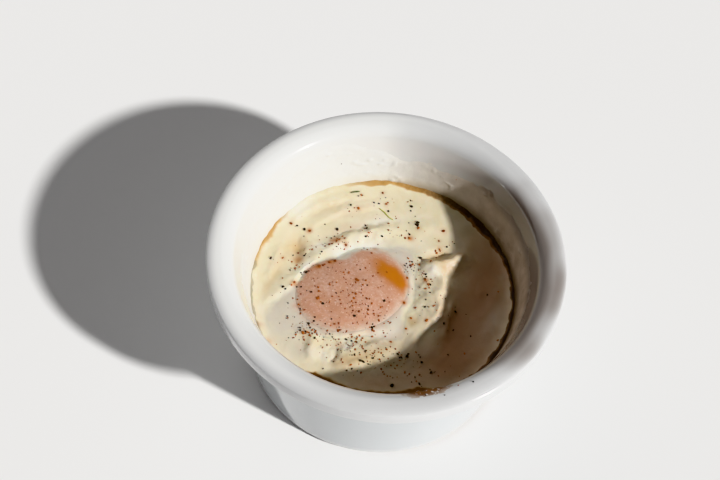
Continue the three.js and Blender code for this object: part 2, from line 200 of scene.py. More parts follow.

# Tones of the food, each a patch like a lump: its middle, half lengths, turn and strength.
# Tan of the cream, mostly its own tone, with painted shadow in the notch behind the tongue fold.
TAN_AND_SHADE_PATCHES = [
    Lump((-27, 7.9), (2.8, 4.4), 25, 0.9),
    Lump((-25.6, 3.6), (1.5, 1.5), 0, 0.6),
    Lump((-22, 23.6), (7.5, 1.9), 40, 0.3),
    # painted shadow of the tongue fold, in the notch behind it
    Lump((13.4, 14.8), (3.6, 2), 30, 1),
    Lump((17, 11.8), (3.5, 1.8), 20, 0.8),
    Lump((-14.4, -21.7), (3.2, 2.2), 0, 0.3),
    Lump((-6.5, -27), (3, 2), 10, 0.5),
    Lump((-1, -24.4), (5.5, 2.2), 20, 0.75),
    Lump((4, -20.1), (4.5, 1.8), 25, 0.4),
    Lump((-32, -5.6), (1.4, 5), -10, 0.5),
    Lump((-31, 2), (2, 6), 0, 0.35),
    Lump((11, -8.8), (2.2, 1.6), 30, 0.8),
]
# Painted shade: warm brown darkening of the cream where the lip's shadow falls, on the right and near the
# viewer.
PAINTED_SHADE_PATCHES = [
    Lump((29, 6.4), (10.5, 34), 0, 1),
    Lump((18.5, -22), (13.5, 8), 30, 0.65),
    Lump((21.5, -7), (3.5, 9), 0, 0.5),
    Lump((3, -31), (11, 4), 10, 0.55),
]
ROSE_PATCHES = [
    Lump((-14, 18.9), (8, 1.7), 40, 0.5),
    Lump((-14, 25), (6, 2), 35, 0.45),
    Lump((2, -16.6), (7, 3), 20, 0.4),
    Lump((-2.5, -13.8), (4, 1.6), 0, 0.5),
    Lump((16, -17.6), (6, 4), 20, 0.4),
]
# Paler cream and white: partly the food's own milky tone, partly painted highlight on ridges that face
# the key light, such as the bank round the yolk and the small lump at the right.
MILKY_AND_HIGHLIGHT_PATCHES = [
    Lump((-31, 21.4), (3.4, 6), -40, 1),
    Lump((-7, 13.2), (5.5, 2.6), 28, 1),
    Lump((-21, 9.6), (3, 1.6), 40, 0.7),
    Lump((-14.5, 8.8), (3, 1.4), 38, 0.7),
    Lump((-23.5, 2), (1.6, 3), 20, 0.6),
    Lump((2, -14.4), (5, 1.6), 25, 0.5),
    Lump((-14.5, 11), (4, 1.6), 38, 0.9),
    Lump((-6, 23.3), (5, 1.6), 20, 0.8),
    Lump((13, 9), (2.2, 1.8), 0, 1),
    Lump((-11.4, -25.6), (3, 2), 0, 0.4),
    Lump((-5.4, -21), (2.4, 1.2), 20, 0.6),
    Lump((33, -2), (2.2, 5.5), -15, 0.2),
]
WHITE_PATCHES = [
    Lump((-26, -17.6), (5.5, 8), 15, 1),
    Lump((-18, -25.6), (5, 4), 0, 0.7),
    Lump((2, 14.9), (5, 2.4), 10, 0.8),
    Lump((7.4, 5.4), (1.8, 6), 0, 0.8),
]
ORANGE_SPOT = Lump((2, 4.3), (8.6, 3.3), -32, 1)
ORANGE_SHARE = 0.93

# The baked edge and the yolk's film, by direction: round the dish, and round the yolk.
RING_SHARE = [
    (-180, 0.3), (-172, 0), (-125, 0), (-112, 1), (60, 1), (75, 0.8), (92, 0.6), (110, 0.4),
    (125, 0.05), (148, 0.05), (158, 0.45), (172, 0.45), (180, 0.3),
]
# Near the viewer (-112 to -60 degrees) the browned band is broad and lies under the near lip: partly
# painted shade.
RING_BREADTH = [
    (-125, 1), (-112, 4.8), (-60, 5), (-48, 2.6), (-40, 1.3), (-10, 1.1), (20, 1.1), (34, 1.8),
    (50, 2.4), (72, 1.9), (100, 1.2), (150, 0.8), (165, 1.2), (180, 1),
]
# The scorched share is highest on the shaded right: real browning, with painted shade on top.
RING_DARKNESS_AND_SHADE = [(-120, 0.4), (-60, 0.6), (-20, 1), (58, 1), (70, 0.6), (84, 0.1)]
RING_BLUR = [(110, 0), (150, 0.8)]
SCORCHED_BREADTH = 0.65  # as a share of the browned edge
YOLK_BLUR = [
    (-180, 2), (-150, 4), (-110, 4.5), (-70, 6.5), (-20, 6), (20, 2.6), (60, 3.8), (120, 1.8), (180, 2),
]
YOLK_NOTCH = (118, 2.1, 17)  # where the film stops short: direction, depth and spread
WHITE_FROM = -170  # the white's tone runs from this direction round to 180 degrees
WHITE_BLUR = 2.4

# ---- small helpers ----

NOISE_CELLS = 32
NOISE_SHIFT = 7.37  # in cells, from one seed to the next
PATH_STEPS = 16
LATTICE = np.random.default_rng(5).uniform(-1, 1, (NOISE_CELLS,) * 3)


def bell(distance, breadth):
    return np.exp(-((distance / breadth) ** 2))


def smooth(share):
    share = np.clip(share, 0, 1)
    return share * share * (3 - 2 * share)


def turn_between(a, b):
    """The signed turn from one direction to another, between -180 and 180 degrees."""
    return (a - b + 180) % 360 - 180


def around(angle, table):
    """A value that changes with direction, read from a list of directions and values."""
    directions, values = zip(*table)
    return np.interp(angle, directions, values)


def arc(x, z, across, up, start, end, steps):
    """Points round part of an ellipse, between two angles in degrees."""
    angles = np.radians(np.linspace(start, end, steps + 1))
    return [(x + across * math.cos(a), z + up * math.sin(a)) for a in angles]


def noise(points, size, seed):
    """Smooth noise from -1 to 1 at points in mm, with bumps about size mm across."""
    scaled = points / size + NOISE_SHIFT * seed
    cell = np.floor(scaled).astype(int)
    share = smooth(scaled - cell)
    total = np.zeros(len(points))
    for corner in np.ndindex(2, 2, 2):
        weight = np.prod(np.where(corner, share, 1 - share), axis=1)
        total += weight * LATTICE[tuple(((cell + corner) % NOISE_CELLS).T)]
    return total


def waves(points, layers):
    """Several layers of noise together."""
    return sum(wave.height * noise(points, wave.size, wave.seed) for wave in layers)


def flat_waves(x, y, layers):
    return waves(np.column_stack([x, y, np.zeros_like(x)]), layers)


def spline(knots, steps):
    """Points along a smooth curve through knots, the same curve as the solids' folds follow."""
    knots = np.array(knots, float)
    last = len(knots) - 1
    points = []
    for place in np.linspace(0, last, steps + 1):
        i = min(int(place), last)
        t = place - i
        before, start = knots[max(i - 1, 0)], knots[i]
        end, after = knots[min(i + 1, last)], knots[min(i + 2, last)]
        pull, push = (end - before) / 2, (after - start) / 2
        cubic = 2 * start - 2 * end + pull + push
        square = -3 * start + 3 * end - 2 * pull - push
        points.append(((cubic * t + square) * t + pull) * t + start)
    return np.array(points)


def near_path(path, x, y):
    """Distance to a smooth path, whether each point is left of it, and the share along it."""
    line = spline(path, PATH_STEPS)
    distance = np.full(x.shape, np.inf)
    left = np.zeros(x.shape, bool)
    share = np.zeros(x.shape)
    for i, (start, end) in enumerate(zip(line, line[1:])):
        along = end - start
        off_x, off_y = x - start[0], y - start[1]
        t = np.clip((off_x * along[0] + off_y * along[1]) / (along @ along), 0, 1)
        here = np.hypot(off_x - t * along[0], off_y - t * along[1])
        closer = here < distance
        distance = np.where(closer, here, distance)
        left = np.where(closer, along[0] * off_y - along[1] * off_x > 0, left)
        share = np.where(closer, (i + t) / (len(line) - 1), share)
    return distance, left, share


# ---- the shape of the food ----


def cavity_radius(z):
    """Inner radius of the dish, above the heel of its cavity."""
    return CAVITY_RADIUS + CAVITY_FLARE * (z - CAVITY_FLOOR - CAVITY_HEEL) ** 2


def fold_height(fold, x, y):
    """Height of a long fold at each spot, steeper on one side and fading at both ends."""
    distance, left, share = near_path(fold.path, x, y)
    taper = smooth(4 * share * (1 - share))
    return fold.height * taper * bell(distance, np.where(left, fold.left, fold.right))


def lump_height(lump, x, y):
    """Height of an oval swell at each spot."""
    turn = math.radians(lump.turn)
    off_x, off_y = x - lump.at[0], y - lump.at[1]
    along = off_x * math.cos(turn) + off_y * math.sin(turn)
    across = off_y * math.cos(turn) - off_x * math.sin(turn)
    return lump.height * bell(along, lump.size[0]) * bell(across, lump.size[1])


def stirred(x, y):
    """Spots moved a little to and fro, so that the folds wander like set curds."""
    return x + flat_waves(x, y, STIR_X), y + flat_waves(x, y, STIR_Y)


def from_wall(x, y):
    """Distance of each spot on the food from the dish."""
    return np.maximum(cavity_radius(FILL_LEVEL) - np.hypot(x, y), 0)


def from_yolk(x, y):
    """Direction of each spot from the yolk's centre in degrees, and its distance."""
    off_x, off_y = x - YOLK_CENTRE[0], y - YOLK_CENTRE[1]
    return np.degrees(np.arctan2(off_y, off_x)), np.hypot(off_x, off_y)


def cream_top(x, y):
    """Height of the cream: level, with folds and lumps, and drawn up a little at the dish."""
    inside = from_wall(x, y)
    bent_x, bent_y = stirred(x, y)
    ragged = 1 + flat_waves(x, y, RIM_RAGGED)
    climb = RIM_CLIMB[0] * ragged * bell(inside, RIM_CLIMB[1])
    relief = sum(fold_height(fold, bent_x, bent_y) for fold in FOLDS)
    relief = relief + sum(lump_height(lump, bent_x, bent_y) for lump in LUMPS + SOFT_LUMPS)
    return FILL_LEVEL + climb + relief * smooth(inside / RELIEF_FADE)


def yolk_radius(degrees):
    a = np.radians(degrees - YOLK_TILT)
    oval = YOLK_LONG * YOLK_SHORT / np.hypot(YOLK_SHORT * np.cos(a), YOLK_LONG * np.sin(a))
    direction, depth, spread = YOLK_FLAT
    return oval - depth * bell(turn_between(degrees, direction), spread)


def white_radius(degrees):
    lobes = sum(reach * bell(turn_between(degrees, at), wide) for at, reach, wide in WHITE_LOBES)
    return yolk_radius(degrees) + WHITE_MARGIN + lobes


def fine_relief(x, y):
    """The small unevenness of the set food, roughest on the curds near the viewer and right."""
    curds = sum(lump_height(curd, x, y) for curd in CURDS)
    return flat_waves(x, y, SOFT_RELIEF) + curds * flat_waves(x, y, CURD_RELIEF)


def food_top(x, y):
    """Height of the food's surface: the cream, the white that slopes in, the yolk's dome."""
    angle, reach = from_yolk(x, y)
    yolk, white = yolk_radius(angle), white_radius(angle)
    edge = FILL_LEVEL + YOLK_EDGE
    dome = edge + YOLK_RISE * np.maximum(1 - (reach / yolk) ** 2, 0) ** YOLK_FULLNESS
    slope = smooth((reach - yolk) / (white - yolk))
    outside = edge + (cream_top(x, y) - edge) * slope
    return np.where(reach < yolk, dome, outside) + fine_relief(x, y)


# ---- the tones of the food ----


def patches(listed, x, y):
    """How far any of the listed patches covers each spot, from 0 to 1."""
    return np.clip(sum(lump_height(patch, x, y) for patch in listed), 0, 1)


def ring_tones(x, y):
    """The baked edge against the dish: how far it is golden, browned and scorched; the scorched share is
    painted darker on the shaded right, as painted shade.
    """
    angle = np.degrees(np.arctan2(y, x))
    inward = from_wall(x, y) - flat_waves(x, y, RING_WANDER)
    breadth, dark = around(angle, RING_BREADTH), around(angle, RING_DARKNESS_AND_SHADE)
    blur = 0.3 + 0.12 * breadth + around(angle, RING_BLUR)
    browned = around(angle, RING_SHARE) * smooth((breadth - inward) / blur + 0.5)
    scorched_and_shade = dark * smooth((SCORCHED_BREADTH * breadth - inward) / blur + 0.5)
    return smooth(2 * browned) * (1 - dark), browned, scorched_and_shade


def food_tones(x, y, stains):
    """How far each tone shows at each spot, from 0 to 1."""
    angle, reach = from_yolk(x, y)
    wander = flat_waves(x, y, TONE_WANDER)
    blur = around(angle, YOLK_BLUR)
    direction, depth, spread = YOLK_NOTCH
    filmed = yolk_radius(angle) - depth * bell(turn_between(angle, direction), spread)
    yolk = smooth((filmed - reach + 1.6 * wander) / blur + 0.45)
    white = smooth((white_radius(angle) - reach + 2 * wander) / WHITE_BLUR + 0.3)
    white = white * (angle > WHITE_FROM)
    golden, browned, scorched_and_shade = ring_tones(x, y)
    spot = lump_height(ORANGE_SPOT, x + wander, y + wander)
    smudges = [
        strength * bell(np.hypot(x - at_x, y - at_y), breadth) for at_x, at_y, breadth, strength in stains
    ]
    return {
        "tan": patches(TAN_AND_SHADE_PATCHES, x + wander, y + wander),
        # painted shade where the lip's shadow falls on the food
        "painted_shade": patches(PAINTED_SHADE_PATCHES, x + 2 * wander, y + wander),
        "milky_and_highlight": patches(MILKY_AND_HIGHLIGHT_PATCHES, x - wander, y + wander),
        "rose": patches(ROSE_PATCHES, x + wander, y - wander),
        "white": np.maximum(white, patches(WHITE_PATCHES, x + wander, y + wander)),
        "yolk": yolk,
        "orange": ORANGE_SHARE * smooth((spot - 0.12) / 0.75) * yolk,
        "golden": golden,
        "browned": browned,
        "scorched_and_shade": scorched_and_shade,
        "stained": np.clip(sum(smudges), 0, 1),
    }


# ---- making meshes ----

SHARP_ANGLE = 48  # degrees between faces, from which an edge stays crisp


def make_piece(name, points, faces, material):
    """A smooth-shaded mesh that rides on the dish, from points in mm."""
    mesh = bpy.data.meshes.new(name)
    mesh.from_pydata((np.asarray(points) * MM).tolist(), [], faces)
    mesh.materials.append(material)
    mesh.shade_smooth()
    mesh.set_sharp_from_angle(angle=math.radians(SHARP_ANGLE))
    piece = bpy.data.objects.new(name, mesh)
    bpy.context.scene.collection.objects.link(piece)
    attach(piece, "root")
    return piece


def give_values(piece, name, values):
    """A number for each vertex, which the material reads by name."""
    layer = piece.data.attributes.new(name, "FLOAT", "POINT")
    layer.data.foreach_set("value", np.asarray(values, np.float32))


def band_faces(rings, sides, first=0):
    """Quads between rings of points that run anticlockwise, each ring seen after the last."""
    i = np.arange(sides)
    after = (i + 1) % sides
    quads = []
    for ring in range(rings - 1):
        low, high = first + ring * sides, first + (ring + 1) * sides
        quads.append(np.column_stack([low + i, low + after, high + after, high + i]))
    return np.concatenate(quads).tolist()


def ring_solid(bottom, rings, top):
    """Points and faces of a closed form through rings between two poles."""
    sides = len(rings[0])
    points = np.concatenate([[bottom], *rings, [top]])
    last = 1 + (len(rings) - 1) * sides
    faces = band_faces(len(rings), sides, 1)
    for i in range(sides):
        after = (i + 1) % sides
        faces.append([0, 1 + after, 1 + i])
        faces.append([last + i, last + after, len(points) - 1])
    return points, faces


# ---- making the dish ----


def lip_inside():
    """The angle at which the lip leaves its inner quarter, the throat's height and the crown."""
    quarter = HEIGHT - LIP_INNER_DROP
    wall_slope = 2 * CAVITY_FLARE * (quarter - CAVITY_FLOOR - CAVITY_HEEL)
    leave = math.atan(wall_slope * LIP_INNER_DROP / LIP_INNER_REACH)
    throat = quarter + LIP_INNER_DROP * math.sin(leave)
    return leave, throat, cavity_radius(throat) + LIP_INNER_REACH * math.cos(leave)


def inner_radius(z):
    """Radius of the dish's inner side, up the wall and over the lip to its crown."""
    _, throat, crown = lip_inside()
    share = np.clip((z - HEIGHT + LIP_INNER_DROP) / LIP_INNER_DROP, 0, 1)
    return np.where(z < throat, cavity_radius(z), crown - LIP_INNER_REACH * np.sqrt(1 - share**2))


def body_radius(z):
    return BODY_RADIUS + BODY_TAPER * z


def dish_profile():
    """The dish's outline from under its middle, up the outside, over the lip and down again."""
    foot_inside = FOOT_RADIUS - FOOT_WIDTH
    heel_across = body_radius(HEEL_RADIUS) - FOOT_RADIUS
    lip_root = body_radius(LIP_UNDERSIDE)
    band_radius = RIM_RADIUS - LIP_BAND_LEAN - LIP_BEAD
    quarter = HEIGHT - LIP_INNER_DROP
    leave, throat, crown = lip_inside()
    floor_edge = CAVITY_FLOOR + CAVITY_HEEL
    wall_heights = np.linspace(throat, floor_edge, WALL_STEPS)[1:]
    body_heights = np.linspace(HEEL_RADIUS, LIP_UNDERSIDE - LIP_FILLET, BODY_STEPS)[1:-1]
    return [
        (0, FOOT_RECESS),
        (foot_inside - 2 * FOOT_RECESS, FOOT_RECESS),
        *arc(foot_inside - FOOT_RECESS, FOOT_RECESS / 2, *RECESS_ROUNDING, 90, 0, 4),
        (foot_inside, 0),
        *arc(FOOT_RADIUS, HEEL_RADIUS, heel_across, HEEL_RADIUS, -90, 0, 10),
        *[(body_radius(z), z) for z in body_heights],
        *arc(lip_root + LIP_FILLET, LIP_UNDERSIDE - LIP_FILLET, LIP_FILLET, LIP_FILLET, 180, 90, 8),
        *arc(band_radius, LIP_BAND_BOTTOM, LIP_BEAD, LIP_BEAD, BEAD_START, 0, 6),
        *arc(crown, LIP_BAND_TOP, RIM_RADIUS - crown, HEIGHT - LIP_BAND_TOP, 0, 90, 14),
        *arc(crown, quarter, LIP_INNER_REACH, LIP_INNER_DROP, 90, 180 - math.degrees(leave), 14)[1:],
        *[(cavity_radius(z), z) for z in wall_heights],
        *arc(CAVITY_RADIUS - CAVITY_HEEL, floor_edge, CAVITY_HEEL, CAVITY_HEEL, 0, -90, 8)[1:],
        (0, CAVITY_FLOOR),
    ]


def circle(radius, z, sides=DISH_SIDES):
    angles = 2 * np.pi * np.arange(sides) / sides
    return np.column_stack([radius * np.cos(angles), radius * np.sin(angles), np.full(sides, z)])


def dish_places(points):
    """Direction in degrees, height and distance out from the inner side, for each point."""
    angle = np.degrees(np.arctan2(points[:, 1], points[:, 0]))
    level = points[:, 2]
    outward = np.hypot(points[:, 0], points[:, 1]) - inner_radius(np.minimum(level, HEIGHT))
    return angle, level, outward


def milky_veil(points):
    """How far a thin veil of cream whitens the inner side of the dish, from 0 to 1."""
    angle, level, outward = dish_places(points)
    return around(angle, VEIL_SHARE) * smooth(1 - outward / VEIL_DEPTH) * (level > FILL_LEVEL)


def shade_and_stain(points):
    """How far the inner side of the dish and its lip are darkened grey on the shaded right, from 0 to 1:
    painted shade, with some grey stain.
    """
    angle, level, outward = dish_places(points)
    over = (outward > ON_GLAZE) & (level > LIP_BAND_TOP)
    climbed = np.where(over, 2 * HEIGHT - level, level)  # goes on past the crown of the lip
    above = climbed - around(angle, SHADE_AND_STAIN_TOP) - waves(points, SHADE_AND_STAIN_WANDER)
    stain = around(angle, SHADE_AND_STAIN_SHARE) * smooth(0.5 - above / around(angle, SHADE_AND_STAIN_BLUR))
    return stain * (over | (outward < ON_GLAZE))


def make_dish(material):
    """The glazed dish, turned from its outline."""
    profile = dish_profile()
    rings = [circle(r, z) for r, z in profile[1:-1]]
    points, faces = ring_solid((0, 0, profile[0][1]), rings, (0, 0, profile[-1][1]))
    dish = make_piece("dish", points, faces, material)
    _, level, outward = dish_places(points)
    radius = np.hypot(points[:, 0], points[:, 1])
    give_values(dish, "bare_foot", (level < BARE_HEIGHT) & (radius > FOOT_RADIUS - FOOT_WIDTH - 0.5))
    give_values(dish, "shade_and_stain_share", shade_and_stain(points))
    give_values(dish, "veiled", milky_veil(points))
    # painted shade: the outer body below the lip is coloured darker and bluer
    give_values(dish, "body", (level < LIP_UNDERSIDE) & (outward > 1))
    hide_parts("ramekin")


# ---- making the food ----

FOOD_ANGLES = 360 * np.arange(FOOD_SIDES) / FOOD_SIDES


def reach_to_circle(radius):
    """Distance from the yolk's centre to a circle round the dish's axis, in every direction."""
    a = np.radians(FOOD_ANGLES)
    along = YOLK_CENTRE[0] * np.cos(a) + YOLK_CENTRE[1] * np.sin(a)
    across = YOLK_CENTRE[1] * np.cos(a) - YOLK_CENTRE[0] * np.sin(a)
    return np.sqrt(radius**2 - across**2) - along


def food_ring(reach, height=None):
    """A ring round the yolk's centre, on the food's surface where no height is given."""
    a = np.radians(FOOD_ANGLES)
    x = YOLK_CENTRE[0] + reach * np.cos(a)
    y = YOLK_CENTRE[1] + reach * np.sin(a)
    z = food_top(x, y) if height is None else np.broadcast_to(height, x.shape)
    return np.column_stack([x, y, z])


def pole(z):
    """A point over or under the yolk's centre."""
    return (*YOLK_CENTRE, z)


def bowl_rings(outline, top, depth):
    """Rings of a bowl from its bottom to where its upright edge begins."""
    angles = np.linspace(0, np.pi / 2, BOWL_STEPS + 1)[1:]
    heights = top - POCKET_WALL - (depth - POCKET_WALL) * np.cos(angles)
    return [food_ring(outline * math.sin(a), z) for a, z in zip(angles, heights)]


def top_rings(inner, outer, count):
    """Rings over the food's surface from an outer outline in to an inner one."""
    return [food_ring(inner + (outer - inner) * s) for s in np.linspace(1, 0, count)]


def wall_edge():
    """The ring where the cream ends on the dish, a little inside the glaze."""
    edge = food_ring(reach_to_circle(cavity_radius(FILL_LEVEL)))
    radius = np.hypot(edge[:, 0], edge[:, 1])
    grown = (cavity_radius(edge[:, 2]) + BURIED) / radius
    edge[:, :2] *= grown[:, None]
    return edge


def cream_solid():
    """The cream: a filled cavity with a bowl for the white."""
    white = white_radius(FOOD_ANGLES)
    wall = reach_to_circle(cavity_radius(FILL_LEVEL))
    bend = CAVITY_HEEL - FOOD_GAP
    heel = arc(CAVITY_RADIUS - CAVITY_HEEL, CAVITY_FLOOR + CAVITY_HEEL, bend, bend, -90, 0, 5)
    heights = np.linspace(SIDE_BOTTOM, FILL_LEVEL - 1, SIDE_STEPS)
    sides = [(cavity_radius(z) - FOOD_GAP, z) for z in heights]
    below = [food_ring(reach_to_circle(r), z) for r, z in heel + sides]
    pocket = bowl_rings(white, FILL_LEVEL, WHITE_DEPTH)[::-1]
    rings = [*below, wall_edge(), *top_rings(white, wall, CREAM_RINGS)[1:], *pocket]
    return ring_solid(pole(CAVITY_FLOOR + FOOD_GAP), rings, pole(FILL_LEVEL - WHITE_DEPTH))


def white_solid():
    """The white: a bowl between the cream and the yolk."""
    white, yolk = white_radius(FOOD_ANGLES), yolk_radius(FOOD_ANGLES)
    below = bowl_rings(white, FILL_LEVEL, WHITE_DEPTH)
    pocket = bowl_rings(yolk, FILL_LEVEL + YOLK_EDGE, YOLK_DEPTH)[::-1]
    rings = [*below, *top_rings(yolk, white, WHITE_RINGS), *pocket]
    depth = FILL_LEVEL + YOLK_EDGE - YOLK_DEPTH
    return ring_solid(pole(FILL_LEVEL - WHITE_DEPTH), rings, pole(depth))


def yolk_solid():
    """The yolk: a dome over a bowl."""
    yolk = yolk_radius(FOOD_ANGLES)
    edge = FILL_LEVEL + YOLK_EDGE
    shares = np.linspace(1, 0, YOLK_RINGS + 1)[:-1]
    dome = [food_ring(yolk * share) for share in shares]
    rings = [*bowl_rings(yolk, edge, YOLK_DEPTH), *dome]
    top = float(food_top(*np.array(YOLK_CENTRE, float)[:, None])[0])
    return ring_solid(pole(edge - YOLK_DEPTH), rings, pole(top))


def make_food(stains):
    """The cream, the white and the yolk, each in place of its solid."""
    listed = [
        ("set_cream", cream_solid(), "cream", "set_cream"),
        ("set_white", white_solid(), "egg_white", "egg_white"),
        ("filmed_yolk", yolk_solid(), "yolk", "egg_yolk"),
    ]
    for name, (points, faces), node, slot in listed:
        piece = make_piece(name, points, faces, food_material(name))
        for tone, values in food_tones(points[:, 0], points[:, 1], stains).items():
            give_values(piece, tone, values)
        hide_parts(node)


# ---- the film that the cream left on the dish ----

FILM_SIDES = 420
FILM_LEVELS = np.linspace(FILL_LEVEL - 1.2, HEIGHT - 0.3, 92)
FILM_TOP = [
    (-180, 40.7), (-167, 40.5), (-155, 40), (-148, 38.2), (-120, 35), (-60, 35), (-30, 40), (0, 42.5),
    (30, 43), (60, 41.5), (80, 40), (95, 40), (105, 43), (116, 45.2), (125, 45.9), (133, 45),
    (148, 42.2), (180, 41),
]
FILM_SHARE = [(-60, 1), (-30, 0.3), (85, 0.4), (104, 1)]
FILM_DEPTH = 0.24
FILM_SUNK = 0.08  # the most that its surface lies behind the glaze where there is no film
# Brown share of the film, highest on the shaded right: partly a baked tone, partly painted shade.
BAKED_AND_SHADE_SHARE = [
    (-180, 0.12), (-160, 0.06), (-148, 0.3), (-138, 0.35), (-120, 0.3), (-75, 0.5), (-40, 0.9), (0, 1),
    (50, 0.9), (66, 0.7), (80, 0.45), (97, 0.15), (102, 0), (165, 0.03), (180, 0.12),
]
FRINGE_SHARE = [
    (-180, 0.2), (-150, 0.06), (-100, 0.4), (-45, 1), (30, 1), (60, 0.8), (85, 0.6), (110, 0.25),
    (140, 0.06), (180, 0.2),
]
FRINGE_HEIGHT = [(-80, 4), (-45, 9), (-5, 7), (20, 4)]
FILM_WANDER = [Wave(0.9, 7, 11), Wave(0.6, 2.6, 12)]
FILM_WRINKLES = [Wave(0.1, 3, 13), Wave(0.07, 1.3, 14)]
FILM_BITS = [Wave(1, 1.5, 15), Wave(0.45, 6, 16)]
CRUST_GRAIN = [Wave(0.6, 1.2, 24)]


def crust_height(angle, z):
    """The crust on the lip's inner side near the viewer, and the faint line that leads to it."""
    crust = bell(turn_between(angle, -64), 6) * bell(z - 47.5, 0.9)
    line = smooth((angle + 130) / 12) * smooth((-72 - angle) / 12) * bell(z - 46.7, 0.45)
    return crust, line


def film_depth(angle, z, points):
    """Thickness of the film on the dish, less than nothing where the glaze is bare."""
    upper = around(angle, FILM_TOP) + waves(points, FILM_WANDER)
    body = FILM_DEPTH * smooth((upper - z) / 2.4) - FILM_SUNK
    below = smooth((upper + 1.5 - z) / 2)
    wrinkles = waves(points, FILM_WRINKLES) * below * (body > 0.01 - FILM_SUNK)
    bits = np.maximum(waves(points, FILM_BITS) - 0.66, 0) * below
    crust, line = crust_height(angle, z)
    raised = crust * (0.7 + waves(points, CRUST_GRAIN)) + 0.12 * line
    return around(angle, FILM_SHARE) * (body + wrinkles) + 0.9 * bits + raised


def make_film():
    """The dried film up the wall and over the lip's inner side, which thins to nothing."""
    rings = []
    for z in FILM_LEVELS:
        bare = circle(inner_radius(z), z, FILM_SIDES)
        angle = np.degrees(np.arctan2(bare[:, 1], bare[:, 0]))
        inward = 1 - film_depth(angle, z, bare) / inner_radius(z)
        bare[:, :2] *= inward[:, None]
        rings.append(bare)
    points = np.concatenate(rings)
    faces = [face[::-1] for face in band_faces(len(rings), FILM_SIDES)]
    film = make_piece("wall_film", points, faces, film_material())
    angle, level, _ = dish_places(points)
    climbed = (level - FILL_LEVEL) / around(angle, FRINGE_HEIGHT)
    crust, line = crust_height(angle, level)
    give_values(film, "baked_and_shade", around(angle, BAKED_AND_SHADE_SHARE))
    # the film's top takes the same painted shade and stain as the glaze
    give_values(film, "shade_and_stain_share", shade_and_stain(points) * smooth((level - 38) / 4))
    give_values(film, "fringe", around(angle, FRINGE_SHARE) * np.clip(1.3 - 1.3 * climbed, 0, 1))
    give_values(film, "crusty", np.clip(2.4 * crust + 0.6 * line, 0, 1))


# ---- pepper, paprika and herbs ----

ZONES = [
    Zone((-10, -4.6), (9, 7), 8, 120),
    Zone((-2, -10.6), (6, 4), 6, 60),
    Zone((-11, -18.6), (9, 4), 24, 64),
    Zone((-18, -19.6), (3, 2.5), 12, 22),
    Zone((-1, -23.6), (9, 4), 28, 70),
    Zone((6, 9.9), (2.2, 1.8), 18, 12),
    Zone((11.5, 4.9), (2.5, 3), 8, 16),
    Zone((-17, 11.9), (3.5, 2), 8, 26),
    Zone((-26, 4.4), (6, 8), 14, 26),
    Zone((-6, 21.4), (9, 6), 10, 28),
    Zone((3, 19.9), (2, 1.5), 1, 12),
    Zone((13, 17.4), (3, 3), 4, 10),
    Zone((-1, 32.4), (14, 3), 8, 8),
    Zone((19, -9.6), (9, 9), 14, 12),
    Zone((11, -22.6), (8, 4), 20, 26),
    Zone((-23, -9.6), (4, 8), 14, 22),
    Zone((13, -3.6), (3, 5), 3, 9),
]
FOOD_REACH = 37.2
SPECK_HALF = (0.16, 0.48)  # half lengths of the scattered specks
SPECK_SEED = 21
SCATTER = 0.75  # spread of the specks, as a share of their zone's size
FLAKE_LUMPINESS = (0.72, 1.12)
FLAKE_NARROWNESS = (0.55, 0.9)
FLAKE_RAISED = 0.35
SHRED_SIDES = 8
SHRED_STEPS = 14

# The flakes that stand out by themselves: x, y and length.
BIG_PEPPER = [
    (-22.7, -0.4, 1.3), (-27, 14.7, 1.2), (-29.4, 15.4, 0.8), (-17.5, 17.1, 1.3), (-15.5, 26.4, 0.9),
    (-7.5, 29.4, 0.8), (2.3, 31, 1.1), (2.4, 29.4, 0.7), (5.3, 25.4, 1.3), (5.5, 24.4, 1.2),
    (4.9, 24.6, 0.9), (8.5, 13.6, 1.3), (-34, 2.1, 1.2), (-28, -7.1, 1), (-27.2, -7.6, 0.8),
    (-9.6, 20.7, 1), (-9, 19.4, 1), (-8.7, 16.2, 1), (-20, 7.4, 0.7), (-18, -16.9, 1.1),
    (-0.2, -22, 0.9), (-5.8, -11.9, 1.1), (15.8, -20.8, 1), (19, -23.3, 1.2), (16.5, -27.6, 1.1),
    (9.2, -30.1, 1.4), (8.7, -20.4, 1), (11.4, -20.2, 1.3), (22, -1.6, 1.1), (30, 6.4, 0.7),
    (-19.8, -19.6, 0.9), (-15.2, -21.2, 1), (2.2, -23.5, 0.9), (-12.5, -6.3, 0.8), (-0.2, -13.6, 1),
]
BIG_PAPRIKA = [
    (-13.2, 30.9, 1), (-13, 25.8, 1.2), (-5.3, 29.9, 1), (13.3, 24.6, 1.3), (12.7, 20.9, 0.8),
    (-31.3, 15.6, 1.2), (-25.3, 14.6, 1), (-17.3, -8.9, 1.3), (10, -7.6, 1), (14.5, -7.6, 1.2),
    (5.8, 23.4, 1.2), (-30.7, 3.1, 1), (-8, 17.4, 0.9), (-14.5, 13.6, 0.8), (-13.7, 11.9, 0.9),
    (11.8, 12.2, 1.1), (6.8, 10.7, 0.9), (8.7, 11.1, 1), (6.2, 5.3, 1), (11.4, 6.2, 1.2),
    (12.6, 4.6, 1), (-19.5, 2.4, 1.3), (-15.5, 5.4, 1.2), (-17, 4.4, 1), (9.3, -11.3, 0.9),
    (6, -16.6, 0.9), (-22.3, -11.6, 0.9), (-25.3, -4.6, 1), (7, -3.2, 1), (-7.8, -0.4, 1),
    (-18.8, -20.2, 1.2), (-17.6, -19.8, 1), (-7.2, 33.7, 0.9), (-18.5, 10.6, 0.9), (4, 19.4, 0.9),
]
STRAY_PEPPER = [  # on the dish: direction in degrees, height and half length
    (121, 38.1, 0.3), (140, 32.9, 0.35), (-48, 48.6, 0.35), (-65, 48.4, 0.3), (-59, 48.8, 0.25),
]
